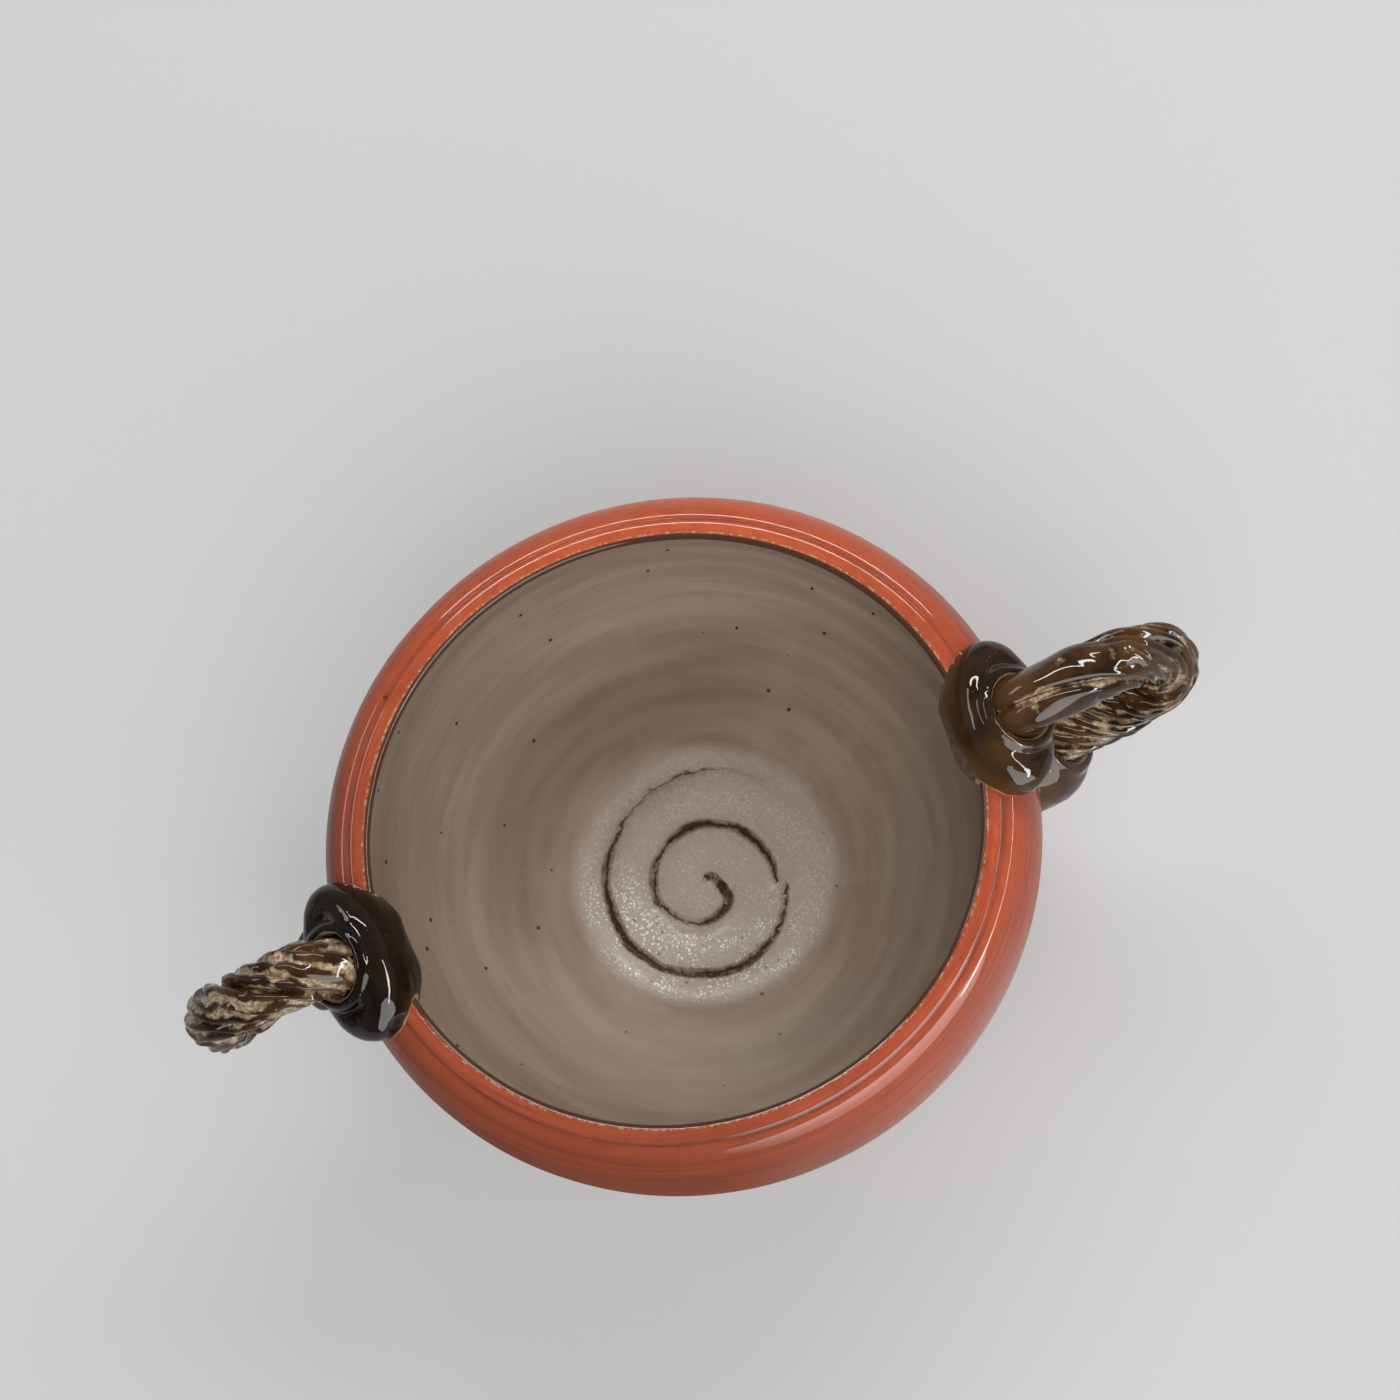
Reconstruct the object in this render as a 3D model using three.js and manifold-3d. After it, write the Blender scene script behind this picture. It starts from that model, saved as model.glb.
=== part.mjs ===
import * as THREE from 'three';
import { mergeVertices } from 'three/addons/utils/BufferGeometryUtils.js';
import Module from 'manifold-3d';

const wasm = await Module();
wasm.setup();

// A sipping bowl standing on its foot. The handles lie along X, and the origin is on the table under the
// middle of the whole part.

// Driving dimensions, in millimetres, degrees and counts

// Thrown body
const bowlHeight = 76; // table to the crest of the lip
const bellyRadius = 70; // widest place of the wall
const bellyDrop = 19; // crest down to the widest place
const mouthInset = 11.25; // belly in to the edge of the mouth
const mouthOval = 1.4; // the mouth is this much wider along the handles, and narrower across them
const wallThickness = 6.5; // at the belly
const floorThickness = 8; // at the middle of the floor
const lipWidth = 4.1; // edge of the mouth out to the groove below the lip
const crestInset = 1.85; // edge of the mouth out to the crest
const lipRound = 1.6; // crest down to the edge of the mouth
const grooveDrop = 0.9; // crest down to the groove
const shoulderStep = 0.5; // the shoulder swells this much above the groove's bottom

// Turned foot
const footRadius = 38.5;
const footHeight = 9; // table to where the wall starts
const footDraft = 1; // the foot narrows by this much down to the table
const footWidth = 6; // the ring that touches the table
const footRecess = 5.5; // hollow under the floor
const wallRise = 35; // slope of the wall where it leaves the foot, degrees
const wallFullness = 0.75; // 1 makes the wall below the belly as full as an ellipse

// Pads
const upperPadLength = 31.5; // along the lip
const upperPadBreadth = 20; // across the lip
const upperPadRise = 5.6; // stands this much off its seat at its rim
const upperPadRoot = 9; // depth of clay reaching down to the wall
const upperPadTaper = 4; // the root is this much narrower all round
const lowerPadLength = 25; // a taller knob on the wall below the belly
const lowerPadBreadth = 25;
const lowerPadRise = 13.5;
const lowerPadRoot = 13;
const lowerPadTaper = 8;
const rightPadRatio = 1.05; // the right upper pad's length to the left one's
const rightKnobRatio = 0.85; // the right knob's width to the left one's
const padDome = 1; // swells this much from its rim to its middle
const padEdge = 4.5; // rounding of its rim
const padBulge = 0.6; // pull of the rim outwards
const collarWidth = 2.6; // ring of clay pressed up round the rope
const collarRise = 1.2;
const collarFlare = 0.6; // its foot spreads by this much
const socketDepth = 2.5;
const upperPadDrop = 1.5; // crest down to the middle of an upper pad's seat
const upperPadTilt = 48; // faces this far above level, degrees
const lowerPadDrop = 38; // crest down to the middle of a lower pad's seat
const lowerPadTilt = 35;
const rightLean = -4.5; // the right lower pad is this far round the bowl from its handle's line, degrees
const leftLean = -2.2;
const rightTuck = 1.2; // the right upper pad is this far round from it, degrees
const leftTuck = -1.4;
const lapReach = 4; // an upper pad hangs this far over the edge of the mouth
const lapDepth = 3.5; // and this far down inside it

// Rope handles
const ropeRadius = 6.4;
const strandCount = 3;
const ropeTurns = 1.5; // twist from the upper pad to the lower one
const rightReach = 34.5; // outside of the right loop past the belly
const leftReach = 38;
const rightSwing = 1.5; // the right handle stands this far off the line of the left one, degrees
const tipDrop = 12.5; // crest down to the outermost place of a loop
const upperArmPull = 11; // how far the arm keeps the way its pad faces
const lowerArmPull = 10;
const tipPull = 15; // roundness of the bend at the tip
const leftBow = 2.2; // the left loop leans this far to the side round its tip

// Fits and facets
const clearance = 0.3; // between pieces that touch
const weld = 1e-3; // corners closer than this are one
const aroundBowl = 56;
const wallSteps = 9;
const tuckSteps = 6;
const floorSteps = 12;
const lipSteps = 3;
const aroundPad = 28;
const rimSteps = 6;
const collarSteps = 2;
const strandSteps = 44;
const strandSides = 8;

// Places worked out from the sizes
const bellyZ = bowlHeight - bellyDrop;
const mouthRadius = bellyRadius - mouthInset;
const mouthZ = bowlHeight - lipRound;
const innerBelly = bellyRadius - wallThickness;
const grooveRadius = mouthRadius + lipWidth;
const grooveZ = bowlHeight - grooveDrop;
const floorZ = footRecess + floorThickness;
const recessRadius = footRadius - footDraft - footWidth;
const socketRadius = ropeRadius + clearance;
const collarRadius = socketRadius + collarWidth;
const ellipseArm = (4 / 3) * (Math.SQRT2 - 1); // tangent length that makes a Bezier follow a quarter ellipse

const point = (x, y) => new THREE.Vector2(x, y);
const between = (a, b, share) => a + (b - a) * share;

// Outside of the wall, from the foot over the belly to the groove under the lip
function outerWall() {
  const slope = THREE.MathUtils.degToRad(wallRise);
  const rise = bellyZ - footHeight;
  const run = (bellyRadius - footRadius) * ellipseArm / Math.cos(slope);
  const shoulder = grooveZ - bellyZ;
  const lower = new THREE.CubicBezierCurve(
    point(footRadius, footHeight),
    point(footRadius + run * Math.cos(slope), footHeight + run * Math.sin(slope)),
    point(bellyRadius, bellyZ - rise * ellipseArm * wallFullness),
    point(bellyRadius, bellyZ),
  );
  const upper = new THREE.CubicBezierCurve(
    point(bellyRadius, bellyZ),
    point(bellyRadius, bellyZ + shoulder * ellipseArm),
    point(between(grooveRadius, bellyRadius, ellipseArm), grooveZ + shoulderStep),
    point(grooveRadius, grooveZ),
  );
  return [...lower.getPoints(wallSteps), ...upper.getPoints(wallSteps).slice(1)];
}

// The lip, from the groove over the crest to the edge of the mouth
function lip() {
  const crest = point(mouthRadius + crestInset, bowlHeight);
  const outer = new THREE.QuadraticBezierCurve(
    point(grooveRadius, grooveZ),
    point(grooveRadius, bowlHeight),
    crest,
  );
  const inner = new THREE.QuadraticBezierCurve(
    crest,
    point(mouthRadius, bowlHeight),
    point(mouthRadius, mouthZ),
  );
  return [...outer.getPoints(lipSteps).slice(1), ...inner.getPoints(lipSteps).slice(1)];
}

// Inside of the wall, from the edge of the mouth to the middle of the floor
function innerWall() {
  const upper = new THREE.QuadraticBezierCurve(
    point(mouthRadius, mouthZ),
    point(innerBelly, (mouthZ + bellyZ) / 2),
    point(innerBelly, bellyZ),
  );
  const lower = new THREE.CubicBezierCurve(
    point(innerBelly, bellyZ),
    point(innerBelly, between(bellyZ, floorZ, ellipseArm)),
    point(innerBelly * ellipseArm, floorZ),
    point(0, floorZ),
  );
  return [...upper.getPoints(tuckSteps).slice(1), ...lower.getPoints(floorSteps).slice(1)];
}

function bowlOutline() {
  const foot = [
    point(0, footRecess),
    point(recessRadius, footRecess),
    point(recessRadius, 0),
    point(footRadius - footDraft, 0),
  ];
  return [...foot, ...outerWall(), ...lip(), ...innerWall()];
}

// What a pad may not enter: the wall, the lip and the middle of the mouth up past the pads
function seatOutline() {
  const lapZ = bowlHeight - lapDepth;
  const plugRadius = mouthRadius - lapReach;
  const inner = innerWall().filter((p) => p.y > lapZ);
  const edge = [...outerWall(), ...lip(), ...inner];
  const grown = edge.map((p, i) => {
    const before = edge[Math.max(i - 1, 0)];
    const after = edge[Math.min(i + 1, edge.length - 1)];
    const along = after.clone().sub(before).normalize();
    return point(p.x + along.y * clearance, p.y - along.x * clearance);
  });
  const last = grown[grown.length - 1];
  const plugTop = bowlHeight + upperPadLength;
  return [
    point(0, footHeight),
    ...grown,
    point(last.x, lapZ),
    point(plugRadius, lapZ),
    point(plugRadius, plugTop),
    point(0, plugTop),
  ];
}

// Leaves a geometry with shared corners, no slivers at the axis and its faces pointing out
function closeUp(geometry) {
  const bare = geometry.clone();
  bare.deleteAttribute('normal');
  bare.deleteAttribute('uv');
  const merged = mergeVertices(bare, weld);
  const at = merged.attributes.position;
  const corners = [];
  let volume = 0;
  const [a, b, c] = [new THREE.Vector3(), new THREE.Vector3(), new THREE.Vector3()];
  for (let i = 0; i < merged.index.count; i += 3) {
    const face = [0, 1, 2].map((k) => merged.index.getX(i + k));
    if (new Set(face).size < 3) continue;
    a.fromBufferAttribute(at, face[0]);
    b.fromBufferAttribute(at, face[1]);
    c.fromBufferAttribute(at, face[2]);
    volume += a.dot(b.cross(c));
    corners.push(face);
  }
  merged.setIndex(corners.flatMap((f) => (volume < 0 ? [f[0], f[2], f[1]] : f)));
  return merged;
}

// The weight of the handles draws the mouth oval, and the foot stays round
function drawOval(geometry) {
  const at = geometry.attributes.position;
  for (let i = 0; i < at.count; i += 1) {
    const turn = Math.atan2(at.getY(i), at.getX(i));
    const radius = Math.hypot(at.getX(i), at.getY(i));
    const pull = mouthOval * (at.getZ(i) / bowlHeight) ** 2 * Math.cos(2 * turn) * (radius / mouthRadius);
    at.setX(i, at.getX(i) + pull * Math.cos(turn));
    at.setY(i, at.getY(i) + pull * Math.sin(turn));
  }
  return geometry;
}

// Turns an outline of radius and height about Z
function turned(outline, around, start = 0) {
  const geometry = new THREE.LatheGeometry(outline, around, start);
  geometry.rotateX(Math.PI / 2);
  return closeUp(geometry);
}

function toSolid(geometry) {
  return new wasm.Manifold(new wasm.Mesh({
    numProp: 3,
    vertProperties: new Float32Array(geometry.attributes.position.array),
    triVerts: new Uint32Array(geometry.index.array),
  }));
}

function toGeometry(solid) {
  const mesh = solid.getMesh();
  const geometry = new THREE.BufferGeometry();
  geometry.setAttribute('position', new THREE.BufferAttribute(new Float32Array(mesh.vertProperties), 3));
  geometry.setIndex(new THREE.BufferAttribute(new Uint32Array(mesh.triVerts), 1));
  return geometry;
}

// Radius of the outside of the wall at a height, along the handles
function wallRadius(z) {
  const wall = outerWall();
  const next = Math.max(wall.findIndex((p) => p.y >= z), 1);
  const [low, high] = [wall[next - 1], wall[next]];
  const radius = between(low.x, high.x, (z - low.y) / (high.y - low.y));
  return radius + mouthOval * (z / bowlHeight) ** 2 * (radius / mouthRadius);
}

// Where a pad sits on the +X side, which way it faces and how big it is
function padSeat(pad) {
  const z = bowlHeight - Math.max(pad.drop, grooveDrop);
  const [facing, lean] = [90 - pad.tilt, pad.lean].map((angle) => THREE.MathUtils.degToRad(angle));
  const turn = new THREE.Euler(0, facing, lean, 'ZYX');
  const around = new THREE.Vector3(0, 0, 1);
  const collarTop = pad.rise + padDome + collarRise;
  return {
    turn,
    rise: pad.rise,
    root: pad.root,
    taper: pad.taper,
    radius: pad.length / 2,
    squeeze: pad.breadth / pad.length,
    collarTop,
    socketFloor: collarTop - socketDepth,
    at: new THREE.Vector3(wallRadius(z), 0, z).applyAxisAngle(around, turn.z),
    out: new THREE.Vector3(0, 0, 1).applyEuler(turn),
  };
}

// A domed button, solid down to its root
function padOutline(seat) {
  const rim = new THREE.CubicBezierCurve(
    point(Math.max(seat.radius - seat.taper, 1), -seat.root),
    point(seat.radius + padBulge, (seat.rise - seat.root) / 2),
    point(seat.radius + padBulge, seat.rise),
    point(seat.radius - padEdge, seat.rise),
  );
  return [point(0, -seat.root), ...rim.getPoints(rimSteps), point(0, seat.rise + padDome)];
}

// The ring of clay pressed up round the rope, and the hole that the rope sits in
function collarOutline(seat) {
  const foot = seat.rise - padEdge;
  const shoulder = new THREE.QuadraticBezierCurve(
    point(collarRadius + collarFlare, foot),
    point(collarRadius, seat.collarTop),
    point((collarRadius + socketRadius) / 2, seat.collarTop),
  );
  return [point(0, foot), ...shoulder.getPoints(collarSteps), point(0, seat.collarTop)];
}

function socketOutline(seat) {
  const above = seat.collarTop + socketDepth;
  return [
    point(0, seat.socketFloor),
    point(socketRadius, seat.socketFloor),
    point(socketRadius, above),
    point(0, above),
  ];
}

function padGeometry(seat) {
  const halfFacet = Math.PI / aroundPad; // keeps the corners of the collar off the button's
  const button = turned(padOutline(seat), aroundPad).scale(seat.squeeze, 1, 1);
  const collar = turned(collarOutline(seat), aroundPad, halfFacet);
  const socket = turned(socketOutline(seat), aroundPad, halfFacet);
  const place = new THREE.Matrix4().makeRotationFromEuler(seat.turn).setPosition(seat.at);
  const placed = [button, collar, socket].map((geometry) => toSolid(geometry.applyMatrix4(place)));
  const wall = toSolid(drawOval(turned(seatOutline(), aroundBowl)));
  return toGeometry(placed[0].add(placed[1]).subtract(placed[2]).subtract(wall));
}

// Middle line of a rope: straight out of the upper pad, round the tip and straight into the lower pad
function ropePath(upperSeat, lowerSeat, reach, bow) {
  const along = (seat, far) => seat.at.clone().addScaledVector(seat.out, far);
  const [start, end] = [upperSeat, lowerSeat].map((seat) => along(seat, seat.socketFloor + clearance));
  const [leave, enter] = [upperSeat, lowerSeat].map((seat) => along(seat, seat.collarTop));
  const tip = new THREE.Vector3(bellyRadius + reach - ropeRadius, 0, bowlHeight - tipDrop);
  const above = new THREE.Vector3(0, bow, tipPull);
  const path = new THREE.CurvePath();
  path.add(new THREE.LineCurve3(start, leave));
  path.add(new THREE.CubicBezierCurve3(
    leave,
    along(upperSeat, upperSeat.collarTop + upperArmPull),
    tip.clone().add(above),
    tip,
  ));
  path.add(new THREE.CubicBezierCurve3(
    tip,
    tip.clone().sub(above),
    along(lowerSeat, lowerSeat.collarTop + lowerArmPull),
    enter,
  ));
  path.add(new THREE.LineCurve3(enter, end));
  return path;
}

// One coil of the rope. Every section is cut square to the rope, so neighbours keep their clearance
function strandGeometry(path, order) {
  const pinch = Math.sin(Math.PI / strandCount);
  const layRadius = (2 * ropeRadius + clearance) / (2 * pinch + 2);
  const coilRadius = ropeRadius - layRadius;
  const level = new THREE.Vector3(0, 1, 0);
  const corners = [];
  const faces = [];
  for (let i = 0; i <= strandSteps; i += 1) {
    const share = i / strandSteps;
    const middle = path.getPointAt(share);
    const along = path.getTangentAt(share);
    const side = new THREE.Vector3().crossVectors(level, along).normalize();
    const across = new THREE.Vector3().crossVectors(along, side);
    const lay = 2 * Math.PI * (order / strandCount + ropeTurns * share);
    for (let k = 0; k < strandSides; k += 1) {
      const turn = lay + (2 * Math.PI * k) / strandSides;
      const u = layRadius * Math.cos(lay) + coilRadius * Math.cos(turn);
      const v = layRadius * Math.sin(lay) + coilRadius * Math.sin(turn);
      const corner = middle.clone().addScaledVector(side, u).addScaledVector(across, v);
      corners.push(...corner.toArray());
    }
  }
  const ring = (i, k) => i * strandSides + (k % strandSides);
  for (let i = 0; i < strandSteps; i += 1) {
    for (let k = 0; k < strandSides; k += 1) {
      faces.push(ring(i, k), ring(i, k + 1), ring(i + 1, k));
      faces.push(ring(i, k + 1), ring(i + 1, k + 1), ring(i + 1, k));
    }
  }
  for (let k = 1; k < strandSides - 1; k += 1) {
    faces.push(ring(0, 0), ring(0, k + 1), ring(0, k));
    faces.push(ring(strandSteps, 0), ring(strandSteps, k), ring(strandSteps, k + 1));
  }
  const geometry = new THREE.BufferGeometry();
  geometry.setAttribute('position', new THREE.Float32BufferAttribute(corners, 3));
  geometry.setIndex(faces);
  return closeUp(geometry);
}

function named(name, geometry, color, roughness) {
  const mesh = new THREE.Mesh(geometry, new THREE.MeshStandardMaterial({ color, roughness, metalness: 0 }));
  mesh.name = name;
  return mesh;
}

// One handle with its two pads, on the +X side of its group
function handleSide({ side, reach, tuck, lean, bow, pad, knob, turn }) {
  const group = new THREE.Group();
  const upperSeat = padSeat({
    drop: upperPadDrop,
    tilt: upperPadTilt,
    lean: tuck,
    rise: upperPadRise,
    root: upperPadRoot,
    taper: upperPadTaper,
    length: upperPadLength * pad,
    breadth: upperPadBreadth,
  });
  const lowerSeat = padSeat({
    drop: lowerPadDrop,
    tilt: lowerPadTilt,
    lean,
    rise: lowerPadRise,
    root: lowerPadRoot,
    taper: lowerPadTaper,
    length: lowerPadLength * knob,
    breadth: lowerPadBreadth * knob,
  });
  const path = ropePath(upperSeat, lowerSeat, reach, bow);
  group.add(named(`${side}_upper_pad`, padGeometry(upperSeat), 0x241a10, 0.15));
  group.add(named(`${side}_lower_pad`, padGeometry(lowerSeat), 0x241a10, 0.15));
  for (let order = 0; order < strandCount; order += 1) {
    group.add(named(`${side}_strand_${order + 1}`, strandGeometry(path, order), 0x4a2d14, 0.2));
  }
  group.rotation.z = THREE.MathUtils.degToRad(turn);
  return group;
}

const bowl = new THREE.Group();
bowl.add(named('bowl', drawOval(turned(bowlOutline(), aroundBowl)), 0xb4472a, 0.25));
bowl.add(handleSide({
  side: 'right',
  reach: rightReach,
  tuck: rightTuck,
  lean: rightLean,
  bow: 0,
  pad: rightPadRatio,
  knob: rightKnobRatio,
  turn: rightSwing,
}));
bowl.add(handleSide({
  side: 'left',
  reach: leftReach,
  tuck: leftTuck,
  lean: leftLean,
  bow: leftBow,
  pad: 1,
  knob: 1,
  turn: 180,
}));
bowl.position.x = (leftReach - rightReach) / 2;

export default bowl;
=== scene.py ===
import bpy
import math
from mathutils import Euler, Matrix, Vector, kdtree, noise


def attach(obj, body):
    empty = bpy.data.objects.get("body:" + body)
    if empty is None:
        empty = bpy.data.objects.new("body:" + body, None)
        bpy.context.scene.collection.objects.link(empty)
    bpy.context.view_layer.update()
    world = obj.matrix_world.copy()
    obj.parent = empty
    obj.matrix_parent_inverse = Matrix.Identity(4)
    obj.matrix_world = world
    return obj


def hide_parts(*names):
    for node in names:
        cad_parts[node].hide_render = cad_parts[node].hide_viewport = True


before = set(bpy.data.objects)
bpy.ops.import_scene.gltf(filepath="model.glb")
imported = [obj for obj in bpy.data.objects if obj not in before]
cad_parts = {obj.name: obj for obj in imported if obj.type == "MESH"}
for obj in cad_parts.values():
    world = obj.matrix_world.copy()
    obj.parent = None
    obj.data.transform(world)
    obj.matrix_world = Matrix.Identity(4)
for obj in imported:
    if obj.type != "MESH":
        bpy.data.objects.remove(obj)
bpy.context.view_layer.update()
print("frame loaded,", len(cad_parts), "nodes")

mm = 0.001
axisX = 1.75  # the bowl's own axis stands this far to the +X side of the origin, mm
sides = {"right": 1.5, "left": 180.0}  # which way each handle points, degrees from +X
noise.seed_set(5)  # the spiral's wobble is the same on every run


# Small helpers for working as by hand

def clearSelection():
    if bpy.context.mode != "OBJECT":
        bpy.ops.object.mode_set(mode="OBJECT")
    bpy.ops.object.select_all(action="DESELECT")


def fresh(name):
    made = bpy.context.active_object
    made.name = name
    made.data.name = name
    return made


def pick(piece):
    clearSelection()
    piece.select_set(True)
    bpy.context.view_layer.objects.active = piece


def applied(piece, kind, **settings):
    pick(piece)
    bpy.ops.object.modifier_add(type=kind)
    modifier = piece.modifiers[-1]
    for key, value in settings.items():
        setattr(modifier, key, value)
    bpy.ops.object.modifier_apply(modifier=modifier.name)


def paintWeights(piece, name, weights):
    group = piece.vertex_groups.new(name=name)
    for index, weight in enumerate(weights):
        if weight > 0.001:
            group.add([index], min(weight, 1), "REPLACE")


def paintValues(piece, name, values):
    attribute = piece.data.attributes.new(name, "FLOAT", "POINT")
    attribute.data.foreach_set("value", values)


def finishPiece(piece, node, glaze):
    pick(piece)
    piece.vertex_groups.clear()
    piece.data.transform(Matrix.Translation((axisX * mm, 0, 0)))
    piece.data.materials.clear()
    piece.data.materials.append(glaze)
    bpy.ops.object.shade_smooth()
    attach(piece, "root")
    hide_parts(node)


def ease(value, low, high):
    share = min(max((value - low) / (high - low), 0), 1)
    return share * share * (3 - 2 * share)


def between(a, b, share):
    return a + (b - a) * share


def bezier(steps, *controls):
    line = []
    for step in range(steps + 1):
        layer = [Vector(control) for control in controls]
        while len(layer) > 1:
            layer = [a.lerp(b, step / steps) for a, b in zip(layer, layer[1:])]
        line.append(layer[0])
    return line


def respaced(line, gapAt):
    kept = [line[0]]
    walked = 0
    for before, after in zip(line, line[1:]):
        walked += (after - before).length
        if walked >= gapAt(after):
            kept.append(after)
            walked = 0
    if walked:
        kept.append(line[-1])
    return kept


# Shader maths: a wrapped socket takes the usual operators

class Wire:
    def __init__(self, glaze, socket):
        self.glaze = glaze
        self.socket = socket

    def maths(self, operation, first, second):
        return self.glaze.node("ShaderNodeMath", {"operation": operation}, {0: first, 1: second})

    def __add__(self, other):
        return self.maths("ADD", self, other)

    def __radd__(self, other):
        return self.maths("ADD", other, self)

    def __sub__(self, other):
        return self.maths("SUBTRACT", self, other)

    def __rsub__(self, other):
        return self.maths("SUBTRACT", other, self)

    def __mul__(self, other):
        return self.maths("MULTIPLY", self, other)

    def __rmul__(self, other):
        return self.maths("MULTIPLY", other, self)

    def __pow__(self, other):
        return self.maths("POWER", self, other)


class Glaze:
    def __init__(self, owner, shader, **constants):
        owner.use_nodes = True
        self.material = owner
        self.tree = owner.node_tree
        self.shader = self.tree.nodes[shader]
        for key, value in constants.items():
            self.shader.inputs[key].default_value = value

    def node(self, kind, settings, links, output=0):
        made = self.tree.nodes.new(kind)
        for key, value in settings.items():
            setattr(made, key, value)
        for key, value in links.items():
            if isinstance(value, Wire):
                self.tree.links.new(value.socket, made.inputs[key])
            else:
                made.inputs[key].default_value = value
        return Wire(self, made.outputs[output])

    def feed(self, key, wire):
        self.tree.links.new(wire.socket, self.shader.inputs[key])

    def place(self):
        spot = self.node("ShaderNodeTexCoord", {}, {}, "Object")
        return self.node("ShaderNodeMapping", {}, {"Vector": spot, "Location": (-axisX * mm, 0, 0)})

    def value(self, name):
        return self.node("ShaderNodeAttribute", {"attribute_name": name}, {}, "Fac")

    def part(self, vector, axis):
        return self.node("ShaderNodeSeparateXYZ", {}, {0: vector}, axis)

    def join(self, x, y, z):
        return self.node("ShaderNodeCombineXYZ", {}, {0: x, 1: y, 2: z})

    def grain(self, vector, scale, detail=3.0, rough=0.55):
        settings = {"Vector": vector, "Scale": scale, "Detail": detail, "Roughness": rough}
        return self.node("ShaderNodeTexNoise", {}, settings)

    def dots(self, vector, scale):
        return self.node("ShaderNodeTexVoronoi", {}, {"Vector": vector, "Scale": scale}, "Distance")

    def step(self, wire, low, high):
        limits = {"Value": wire, "From Min": low, "From Max": high}
        return self.node("ShaderNodeMapRange", {"interpolation_type": "SMOOTHSTEP"}, limits)

    def band(self, wire, low, high, soft):
        return self.step(wire, low - soft, low + soft) * (1 - self.step(wire, high - soft, high + soft))

    def blend(self, mask, first, second):
        colours = {0: mask}
        for key, colour in ((6, first), (7, second)):
            colours[key] = colour if isinstance(colour, Wire) else (*colour, 1)
        return self.node("ShaderNodeMix", {"data_type": "RGBA"}, colours, 2)

    def between(self, mask, first, second):
        return self.node("ShaderNodeMix", {"data_type": "FLOAT"}, {0: mask, 2: first, 3: second})

    def relief(self, height, depth):
        return self.node("ShaderNodeBump", {}, {"Height": height, "Distance": depth * mm, "Strength": 1.0})


def newGlaze(name, **constants):
    return Glaze(bpy.data.materials.new(name), "Principled BSDF", **constants)


# The thrown bowl, mm and degrees

bowlShape = {
    "height": 76,  # table to the crest of the lip
    "bellyRadius": 69.97,
    "bellyDrop": 19,
    "mouthRadius": 58.75,
    "mouthOval": 1.4,
    "wallThickness": 6.5,
    "floorZ": 13.5,
    "grooveRadius": 62.85,  # the line below the lip
    "grooveDrop": 0.9,
    "crestInset": 1.85,
    "lipRound": 1.6,
    "shoulderStep": 0.5,
    "footRadius": 38.5,
    "footHeight": 9,
    "footDraft": 1,
    "footWidth": 6,
    "footRecess": 5.5,
    "footRound": 0.8,
    "wallRise": 35,
    "wallFullness": 0.75,
    "around": 240,
    "wallGap": 0.95,  # spacing of the rings of points on the wall
    "lipGap": 0.2,
    "floorGap": 0.32,
    "floorReach": 29,
    "profileSteps": 700,
    "ringPitch": 6.5,  # throwing rings
    "fineRingPitch": 2.7,
    "insideRings": 0.10,
    "outsideRings": 0.09,
}

throwingSpiral = {
    "start": 159.5,  # where the line begins, degrees from +X
    "outer": ((0, 23.9), (0.22, 22.6), (0.42, 20.4), (0.68, 20.1), (0.82, 19.0), (0.99, 16.1)),
    "inner": (
        (1, 13.9), (1.16, 11.9), (1.36, 11.0), (1.56, 10.7),
        (1.72, 9.2), (1.84, 6.6), (1.96, 2.6), (2.2, 0.9),
    ),
    "width": 0.40,
    "depth": 0.80,
    "pen": 0.19,  # half the width of the brown line in it
    "softWidth": 2.6,
    "softDepth": 0.80,
    "drift": (0.20, 0.55),  # the hand strays slowly by this much, then trembles
    "tremble": (0.7, 0.18),
    "changes": 16,  # how often the line thickens along its length
    "deepFrom": 0.22,  # share of its length by which it has its full depth
    "inkFrom": 0.03,
}

ellipseArm = 4 / 3 * (math.sqrt(2) - 1)


def outerWall(steps):
    b = bowlShape
    bellyZ = b["height"] - b["bellyDrop"]
    grooveZ = b["height"] - b["grooveDrop"]
    slope = math.radians(b["wallRise"])
    run = (b["bellyRadius"] - b["footRadius"]) * ellipseArm / math.cos(slope)
    upright = (bellyZ - b["footHeight"]) * ellipseArm * b["wallFullness"]
    shoulder = (grooveZ - bellyZ) * ellipseArm
    lower = bezier(
        steps,
        (b["footRadius"], 0, b["footHeight"]),
        (b["footRadius"] + run * math.cos(slope), 0, b["footHeight"] + run * math.sin(slope)),
        (b["bellyRadius"], 0, bellyZ - upright),
        (b["bellyRadius"], 0, bellyZ),
    )
    upper = bezier(
        steps,
        (b["bellyRadius"], 0, bellyZ),
        (b["bellyRadius"], 0, bellyZ + shoulder),
        (between(b["grooveRadius"], b["bellyRadius"], ellipseArm), 0, grooveZ + b["shoulderStep"]),
        (b["grooveRadius"], 0, grooveZ),
    )
    return lower + upper[1:]


def lipLine(steps):
    b = bowlShape
    crest = (b["mouthRadius"] + b["crestInset"], 0, b["height"])
    outer = bezier(
        steps,
        (b["grooveRadius"], 0, b["height"] - b["grooveDrop"]),
        (b["grooveRadius"], 0, b["height"]),
        crest,
    )
    inner = bezier(
        steps,
        crest,
        (b["mouthRadius"], 0, b["height"]),
        (b["mouthRadius"], 0, b["height"] - b["lipRound"]),
    )
    return outer[1:], inner[1:]


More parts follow.
